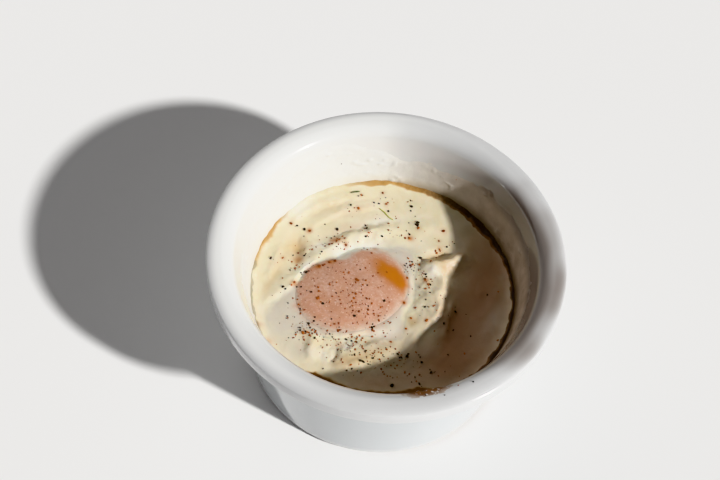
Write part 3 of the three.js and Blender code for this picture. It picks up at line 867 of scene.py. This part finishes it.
STRAY_PAPRIKA = [(112, 36.5, 0.3), (-53, 48.2, 0.3), (-170, 38.5, 0.25), (70, 38, 0.25)]
STAIN_SPOTS = [  # smudges of paprika oil: x, y, breadth and strength
    (-26, 3.9, 1.4, 0.6), (-16.5, 12.8, 1.4, 0.7), (-18, 12.3, 1, 0.5), (-20, 2.1, 1.2, 0.7),
    (-16.5, 4.9, 1.4, 0.7), (-25.5, 14.7, 0.9, 0.6), (4.3, 19.6, 1.1, 0.6), (13.4, 18.4, 1, 0.4),
    (11.8, 5.8, 1, 0.4), (6.9, -3.2, 0.9, 0.5), (-8.2, -21.1, 1, 0.5), (-7.8, -0.6, 0.8, 0.5),
    (-5.1, 13, 0.8, 0.5), (-13.8, 12, 0.8, 0.5), (-25.4, -5.1, 0.9, 0.5),
    (-27.6, -25.6, 1.3, 0.4), (-31.6, -20.6, 1.1, 0.35), (-22.6, -30, 1.2, 0.35),
]


def unit(vectors):
    return vectors / np.linalg.norm(vectors, axis=1, keepdims=True)


def food_frames(x, y):
    """Points of the food's surface over spots, with two axes along it and its normal there."""
    step = 0.4
    flat, z = np.zeros_like(x), food_top(x, y)
    east = np.column_stack([flat + step, flat, food_top(x + step, y) - z])
    north = np.column_stack([flat, flat + step, food_top(x, y + step) - z])
    u, up = unit(east), unit(np.cross(east, north))
    return np.column_stack([x, y, z]), u, np.cross(up, u), up


def dish_frames(degrees, z):
    """The same for spots on the dish's inner side, by their direction and height."""
    step = 0.1
    angle, flat = np.radians(degrees), np.zeros_like(z)
    out = np.column_stack([np.cos(angle), np.sin(angle), flat])
    u = np.column_stack([-np.sin(angle), np.cos(angle), flat])
    at = out * inner_radius(z)[:, None] + np.column_stack([flat, flat, z])
    climb = out * (inner_radius(z) - inner_radius(z - step))[:, None]
    v = unit(climb + np.column_stack([flat, flat, flat + step]))
    return at, u, v, np.cross(v, u)


ICO_CORNERS = 12
ICO_RATIO = (1 + math.sqrt(5)) / 2
ICO_POINTS = [  # the corners of an icosahedron: three upright oblongs across each other
    np.roll((side, end * ICO_RATIO, 0), turn) for turn in range(3) for end in (1, -1) for side in (-1, 1)
]
ICO_FACES = [
    (0, 11, 5), (0, 5, 1), (0, 1, 7), (0, 7, 10), (0, 10, 11), (1, 5, 9), (5, 11, 4),
    (11, 10, 2), (10, 7, 6), (7, 1, 8), (3, 9, 4), (3, 4, 2), (3, 2, 6), (3, 6, 8), (3, 8, 9),
    (4, 9, 5), (2, 4, 11), (6, 2, 10), (8, 6, 7), (9, 8, 1),
]


def drawn_spots(draw, kind):
    """Spots scattered over each zone, kept on the food, with the half length of each speck."""
    spots = []
    for zone in ZONES:
        for _ in range(getattr(zone, kind)):
            x = draw.normal(zone.at[0], zone.size[0] * SCATTER)
            y = draw.normal(zone.at[1], zone.size[1] * SCATTER)
            if math.hypot(x, y) < FOOD_REACH:
                half = SPECK_HALF[0] + (SPECK_HALF[1] - SPECK_HALF[0]) * draw.random() ** 2
                spots.append((x, y, half))
    return spots


def flake_points(draw, frames, half, flatness):
    """Small broken shapes, each half sunk in the surface at its own place."""
    at, u, v, up = frames
    count = len(half)
    turn = draw.uniform(0, np.pi, (count, 1))
    along = u * np.cos(turn) + v * np.sin(turn)
    axes = np.stack([along, np.cross(up, along), up], axis=1)
    shape = np.array(ICO_POINTS) / math.hypot(1, ICO_RATIO)
    rough = shape * draw.uniform(*FLAKE_LUMPINESS, (count, ICO_CORNERS, 1))
    widths = draw.uniform(*FLAKE_NARROWNESS, count)
    shares = np.column_stack([np.ones(count), widths, np.full(count, flatness)])
    raised = at + up * (FLAKE_RAISED * flatness * half)[:, None]
    return (rough * (half[:, None] * shares)[:, None]) @ axes + raised[:, None]


def make_flakes(spice, spots):
    """Crushed flakes on the food and strays on the dish, as one mesh."""
    draw = np.random.default_rng(spice.seed)
    x, y, half = np.array(spots, float).T
    degrees, z, stray_half = np.array(spice.strays, float).T
    on_food = flake_points(draw, food_frames(x, y), half, spice.flatness)
    on_dish = flake_points(draw, dish_frames(degrees, z), stray_half, spice.flatness)
    flakes = np.concatenate([on_food, on_dish])
    first = ICO_CORNERS * np.arange(len(flakes))
    faces = (first[:, None, None] + np.array(ICO_FACES)).reshape(-1, 3).tolist()
    material = flake_material(spice)
    piece = make_piece(spice.name, flakes.reshape(-1, 3), faces, material)
    give_values(piece, "tint", np.repeat(draw.random(len(flakes)), ICO_CORNERS))
    piece.data.shade_flat()


def make_shred(name, path, half_width, half_height, material):
    """A thin strand of herb that lies along the food, tapered at both ends."""
    line = spline(path, SHRED_STEPS)
    angles = 2 * np.pi * np.arange(SHRED_SIDES) / SHRED_SIDES
    spots, _, _, normals = food_frames(line[:, 0], line[:, 1])
    sections = []
    for i, (spot, normal) in enumerate(zip(spots, normals)):
        share = i / (len(line) - 1)
        taper = 0.25 + 0.75 * math.sqrt(max(4 * share * (1 - share), 0))
        before, after = line[max(i - 1, 0)], line[min(i + 1, len(line) - 1)]
        along = Vector((*(after - before), 0)).normalized()
        across = Vector((-along.y, along.x, 0))
        at, up = Vector(spot), Vector(normal)
        ring = [
            at + across * half_width * taper * math.cos(a) + up * half_height * (math.sin(a) + 0.5)
            for a in angles
        ]
        sections.append(np.array(ring))
    points, faces = ring_solid(sections[0].mean(0), sections, sections[-1].mean(0))
    make_piece(name, points, faces, material)


# ---- materials ----


class Surface:
    """A Principled material built from small named steps, in the object's own space."""

    def __init__(self, name):
        self.material = bpy.data.materials.new(name)
        self.material.use_nodes = True
        self.nodes = self.material.node_tree.nodes
        self.links = self.material.node_tree.links
        self.shader = self.nodes["Principled BSDF"]
        self.place = self.nodes.new("ShaderNodeTexCoord").outputs["Object"]

    def plain(self, **values):
        """Sets the shader's own sockets, whose names are written with underscores."""
        for name, value in values.items():
            self.shader.inputs[name.replace("_", " ")].default_value = value

    def feed(self, socket, name):
        """Leads a result to the shader."""
        self.links.new(socket, self.shader.inputs[name])

    def put(self, socket, value):
        """Gives a socket a constant or another node's result."""
        if isinstance(value, bpy.types.NodeSocket):
            self.links.new(value, socket)
        else:
            socket.default_value = value

    def value(self, name):
        """The number that the mesh holds for each vertex under this name."""
        node = self.nodes.new("ShaderNodeAttribute")
        node.attribute_name = name
        return node.outputs["Fac"]

    def noise(self, size, detail=3, roughness=0.5):
        """Noise whose bumps are about size mm across."""
        node = self.nodes.new("ShaderNodeTexNoise")
        node.inputs["Scale"].default_value = 1 / (size * MM)
        node.inputs["Detail"].default_value = detail
        node.inputs["Roughness"].default_value = roughness
        self.links.new(self.place, node.inputs["Vector"])
        return node.outputs["Fac"]

    def span(self, value, low, high, new_low=0.0, new_high=1.0):
        """Carries a range of one value over to another range, clamped."""
        node = self.nodes.new("ShaderNodeMapRange")
        self.put(node.inputs["Value"], value)
        limits = {"From Min": low, "From Max": high, "To Min": new_low, "To Max": new_high}
        for name, limit in limits.items():
            node.inputs[name].default_value = limit
        return node.outputs["Result"]

    def sum(self, operation, first, second):
        """Joins two values by the named operation, clamped from 0 to 1."""
        node = self.nodes.new("ShaderNodeMath")
        node.operation = operation
        node.use_clamp = True
        self.put(node.inputs[0], first)
        self.put(node.inputs[1], second)
        return node.outputs[0]

    def mix(self, share, first, second):
        """Goes from the first colour to the second as the share grows."""
        node = self.nodes.new("ShaderNodeMix")
        node.data_type = "RGBA"
        self.put(node.inputs["Factor"], share)
        self.put(node.inputs["A"], first)
        self.put(node.inputs["B"], second)
        return node.outputs["Result"]

    def bump(self, height, strength, depth):
        """Raises the surface by up to depth mm."""
        node = self.nodes.new("ShaderNodeBump")
        node.inputs["Strength"].default_value = strength
        node.inputs["Distance"].default_value = depth * MM
        self.links.new(height, node.inputs["Height"])
        self.feed(node.outputs["Normal"], "Normal")


def colour(red, green, blue):
    return (red, green, blue, 1)


GLAZE = colour(0.62, 0.625, 0.63)
GLAZE_PALE = colour(0.66, 0.665, 0.67)
# painted shade of the outer body below the lip
GLAZE_BODY_SHADE = colour(0.54, 0.565, 0.58)
VEIL = colour(0.78, 0.785, 0.775)
# grey of the painted shade and stain on the inner side and lip
SHADE_AND_STAIN_GREY = colour(0.25, 0.215, 0.195)
BARE_CLAY = colour(0.56, 0.52, 0.46)


def dish_material():
    """White glaze, clouded and stained on the inner side, with painted shade that darkens its shaded
    right and the lip there, painted darker and bluer on the outer body, and with a bare foot ring.
    """
    surface = Surface("glazed_ceramic")
    clouds = surface.span(surface.noise(22, 4), 0.35, 0.65)
    glaze = surface.mix(clouds, GLAZE, GLAZE_PALE)
    for name, shade in (("body", GLAZE_BODY_SHADE), ("veiled", VEIL), ("shade_and_stain_share", SHADE_AND_STAIN_GREY)):
        glaze = surface.mix(surface.value(name), glaze, shade)
    bare = surface.value("bare_foot")
    surface.feed(surface.mix(bare, glaze, BARE_CLAY), "Base Color")
    sheen = surface.span(surface.noise(9, 5), 0.3, 0.7, 0.1, 0.19)
    surface.feed(surface.sum("ADD", sheen, surface.sum("MULTIPLY", bare, 0.5)), "Roughness")
    surface.bump(surface.noise(14, 2), 0.25, 0.25)
    surface.plain(IOR=1.52, Coat_Weight=0.3, Coat_Roughness=0.06)
    return surface.material


CREAM = colour(0.785, 0.715, 0.54)
CREAM_DEEP = colour(0.72, 0.645, 0.45)
TAN_AND_SHADE = colour(0.56, 0.4, 0.21)
# colour of the painted shade on the shaded side of the food
PAINTED_SHADE_BROWN = colour(0.45, 0.29, 0.195)
ROSE = colour(0.65, 0.5, 0.37)
MILKY_AND_HIGHLIGHT = colour(0.86, 0.82, 0.71)
WHITE = colour(0.605, 0.55, 0.46)
# the tan, painted shade and milky layers hold painted shade and painted highlight as well as the food's
# own tones
CREAM_LAYERS = [("white", WHITE), ("rose", ROSE), ("tan", TAN_AND_SHADE), ("painted_shade", PAINTED_SHADE_BROWN), ("milky_and_highlight", MILKY_AND_HIGHLIGHT)]
YOLK_FILM = colour(0.54, 0.29, 0.19)
YOLK_FILM_PALE = colour(0.64, 0.42, 0.33)
YOLK_GLINT = colour(0.8, 0.66, 0.57)
YOLK_BARE = colour(0.47, 0.155, 0.006)
GOLDEN = colour(0.5, 0.28, 0.08)
BROWNED = colour(0.17, 0.07, 0.02)
# near black of the scorched edge, also painted shade on the shaded right
SCORCHED_AND_SHADE = colour(0.03, 0.012, 0.005)
STAIN = colour(0.46, 0.16, 0.03)
FLOOR = colour(0.88, 0.88, 0.88)
FLOOR_PALE = colour(0.9, 0.9, 0.9)


def food_material(name):
    """The set food: one graph for cream, white and yolk, so that they pass into each other."""
    surface = Surface(name)
    broad = surface.span(surface.noise(5, 4), 0.35, 0.65)
    small = surface.span(surface.noise(0.9, 3), 0.3, 0.7)
    tone = surface.mix(broad, CREAM, CREAM_DEEP)
    for layer, shade in CREAM_LAYERS:
        tone = surface.mix(surface.value(layer), tone, shade)
    film = surface.mix(surface.sum("MULTIPLY", small, broad), YOLK_FILM, YOLK_FILM_PALE)
    glints = surface.span(surface.noise(0.5, 2), 0.62, 0.72, 0, 0.6)
    film = surface.mix(glints, film, YOLK_GLINT)
    tone = surface.mix(surface.value("yolk"), tone, film)
    tone = surface.mix(surface.value("orange"), tone, YOLK_BARE)
    tone = surface.mix(surface.value("stained"), tone, STAIN)
    crust = surface.sum("MULTIPLY", surface.value("browned"), surface.span(small, 0, 1, 0.85, 1))
    tone = surface.mix(surface.value("golden"), tone, GOLDEN)
    tone = surface.mix(surface.span(crust, 0.5, 0.9), tone, BROWNED)
    tone = surface.mix(surface.value("scorched_and_shade"), tone, SCORCHED_AND_SHADE)
    surface.feed(tone, "Base Color")
    surface.feed(surface.span(surface.noise(2.5, 4), 0.3, 0.7, 0.28, 0.5), "Roughness")
    surface.bump(surface.noise(0.7, 4, 0.6), 0.35, 0.12)
    surface.plain(
        Subsurface_Weight=0.35,
        Subsurface_Scale=1.3 * MM,
        Subsurface_Radius=(1, 0.6, 0.35),
        IOR=1.38,
    )
    return surface.material


FILM = colour(0.76, 0.765, 0.755)
FILM_CREAMY = colour(0.79, 0.79, 0.765)
# the film's brown on the shaded side: partly a baked tone, partly painted shade
FILM_BAKED_SHADE = colour(0.38, 0.3, 0.23)
FILM_BAKED_SHADE_PALE = colour(0.52, 0.43, 0.35)
FRINGE_GOLDEN = colour(0.62, 0.51, 0.31)
FRINGE_DARK_SHADE = colour(0.09, 0.055, 0.03)


def film_material():
    """The dried film: pale, and darker brown on the shaded side, partly a baked tone and partly painted
    shade, with a lower fringe, golden on the lit side and dark with painted shade on the shaded side.
    """
    surface = Surface("dried_cream_film")
    patchy = surface.span(surface.noise(3.5, 5), 0.3, 0.7)
    pale = surface.mix(patchy, FILM, FILM_CREAMY)
    baked_and_shade = surface.value("baked_and_shade")
    tone = surface.mix(baked_and_shade, pale, surface.mix(patchy, FILM_BAKED_SHADE, FILM_BAKED_SHADE_PALE))
    fringe = surface.mix(baked_and_shade, FRINGE_GOLDEN, FRINGE_DARK_SHADE)
    tone = surface.mix(surface.sum("MULTIPLY", surface.value("fringe"), 0.9), tone, fringe)
    tone = surface.mix(surface.value("shade_and_stain_share"), tone, SHADE_AND_STAIN_GREY)
    flecks = surface.span(surface.noise(1.2, 4), 0.33, 0.45)
    tone = surface.mix(surface.value("crusty"), tone, surface.mix(flecks, pale, BROWNED))
    surface.feed(tone, "Base Color")
    surface.feed(surface.span(surface.noise(2, 4), 0.3, 0.7, 0.35, 0.6), "Roughness")
    surface.bump(surface.noise(0.8, 4), 0.3, 0.15)
    surface.plain(IOR=1.4)
    return surface.material


def flake_material(spice):
    """Crushed spice, each flake a shade of its own between dark and light."""
    surface = Surface(spice.name)
    shade = surface.mix(surface.value("tint"), spice.dark, spice.light)
    grain = surface.span(surface.noise(0.25, 2), 0.35, 0.65, 0, 0.35)
    surface.feed(surface.mix(grain, shade, spice.light), "Base Color")
    surface.bump(surface.noise(0.2, 2), 0.5, 0.05)
    surface.plain(Roughness=spice.roughness, Specular_IOR_Level=0.2)
    return surface.material


def herb_material(name, dark, light):
    """A dry shred of herb with lighter veins."""
    surface = Surface(name)
    veins = surface.span(surface.noise(0.5, 3), 0.35, 0.65)
    surface.feed(surface.mix(veins, dark, light), "Base Color")
    surface.bump(surface.noise(0.4, 2), 0.4, 0.08)
    surface.plain(Roughness=0.5)
    return surface.material


def floor_material():
    surface = Surface("pale_floor")
    clouds = surface.span(surface.noise(900, 2), 0.3, 0.7)
    surface.feed(surface.mix(clouds, FLOOR, FLOOR_PALE), "Base Color")
    surface.plain(Roughness=0.8)
    return surface.material


# ---- the scene ----

PEPPER = (colour(0.006, 0.005, 0.004), colour(0.04, 0.027, 0.018))
PAPRIKA = (colour(0.13, 0.02, 0.008), colour(0.42, 0.13, 0.03))
SPICES = [
    Spice("pepper", BIG_PEPPER, STRAY_PEPPER, *PEPPER, 0.75, 22, 0.6),
    Spice("paprika", BIG_PAPRIKA, STRAY_PAPRIKA, *PAPRIKA, 0.55, 23, 0.4),
]
GREEN_HERB = (colour(0.06, 0.08, 0.02), colour(0.16, 0.17, 0.06))
YELLOW_HERB = (colour(0.42, 0.42, 0.06), colour(0.6, 0.56, 0.16))
SLIVER_PATH = [(-16.6, 30.8), (-15.6, 31.5), (-14, 32.1)]
THREAD_PATH = [(-6.9, 27.6), (-5.2, 26.8), (-3.6, 25.4), (-2.1, 24.7)]
SMUDGE = (0.8, 0.35)  # round a large paprika flake: breadth for its length, and strength


def make_camera():
    """The photograph's own view: a right, an up and a forward axis, rolled about the last."""
    yaw, pitch, roll = CAMERA_YAW, CAMERA_PITCH, CAMERA_ROLL
    forward = Vector(
        (math.sin(yaw) * math.cos(pitch), math.cos(yaw) * math.cos(pitch), math.sin(pitch))
    )
    level = Vector((math.cos(yaw), -math.sin(yaw), 0))
    upright = level.cross(forward)
    right = math.cos(roll) * level + math.sin(roll) * upright
    up = math.cos(roll) * upright - math.sin(roll) * level
    data = bpy.data.cameras.new("camera")
    data.lens = CAMERA_LENS
    data.sensor_width = CAMERA_SENSOR
    camera = bpy.data.objects.new("camera", data)
    turned = Matrix((right, up, -forward)).transposed().to_4x4()
    camera.matrix_world = Matrix.Translation(Vector(CAMERA_AT) * MM) @ turned
    bpy.context.scene.collection.objects.link(camera)
    bpy.context.scene.camera = camera


def make_sun(name, towards, strength, spread, tint):
    """A far light, spread degrees across, that shines from a direction."""
    data = bpy.data.lights.new(name, "SUN")
    data.energy = strength
    data.angle = math.radians(spread)
    data.color = tint
    sun = bpy.data.objects.new(name, data)
    sun.rotation_euler = Vector(towards).to_track_quat("Z", "Y").to_euler()
    bpy.context.scene.collection.objects.link(sun)


def make_light():
    make_sun("key", KEY_FROM, KEY_STRENGTH, KEY_SPREAD, KEY_COLOUR)
    make_sun("soft", SOFT_FROM, SOFT_STRENGTH, SOFT_SPREAD, SOFT_COLOUR)
    world = bpy.data.worlds.new("studio")
    world.use_nodes = True
    background = world.node_tree.nodes["Background"]
    background.inputs["Color"].default_value = colour(*FILL_COLOUR)
    background.inputs["Strength"].default_value = FILL_STRENGTH
    bpy.context.scene.world = world
    bpy.context.scene.view_settings.view_transform = "Khronos PBR Neutral"


def make_floor():
    """The plain floor, which ends far outside the view."""
    mesh = bpy.data.meshes.new("floor")
    half = FLOOR_HALF * MM
    corners = [(-half, -half, 0), (half, -half, 0), (half, half, 0), (-half, half, 0)]
    mesh.from_pydata(corners, [], [(0, 1, 2, 3)])
    mesh.materials.append(floor_material())
    floor = bpy.data.objects.new("floor", mesh)
    bpy.context.scene.collection.objects.link(floor)


def make_toppings():
    """Pepper, paprika and herbs. Gives back the smudges that the paprika leaves."""
    draw = np.random.default_rng(SPECK_SEED)
    for spice in SPICES:
        spots = [(x, y, length / 2) for x, y, length in spice.large]
        make_flakes(spice, spots + drawn_spots(draw, spice.name))
    make_shred("herb_sliver", SLIVER_PATH, 0.26, 0.2, herb_material("green_herb", *GREEN_HERB))
    make_shred("herb_thread", THREAD_PATH, 0.2, 0.2, herb_material("yellow_herb", *YELLOW_HERB))
    breadth, strength = SMUDGE
    return STAIN_SPOTS + [(x, y, breadth * length, strength) for x, y, length in BIG_PAPRIKA]


def main():
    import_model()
    make_camera()
    make_light()
    make_floor()
    make_dish(dish_material())
    make_food(make_toppings())
    make_film()


main()
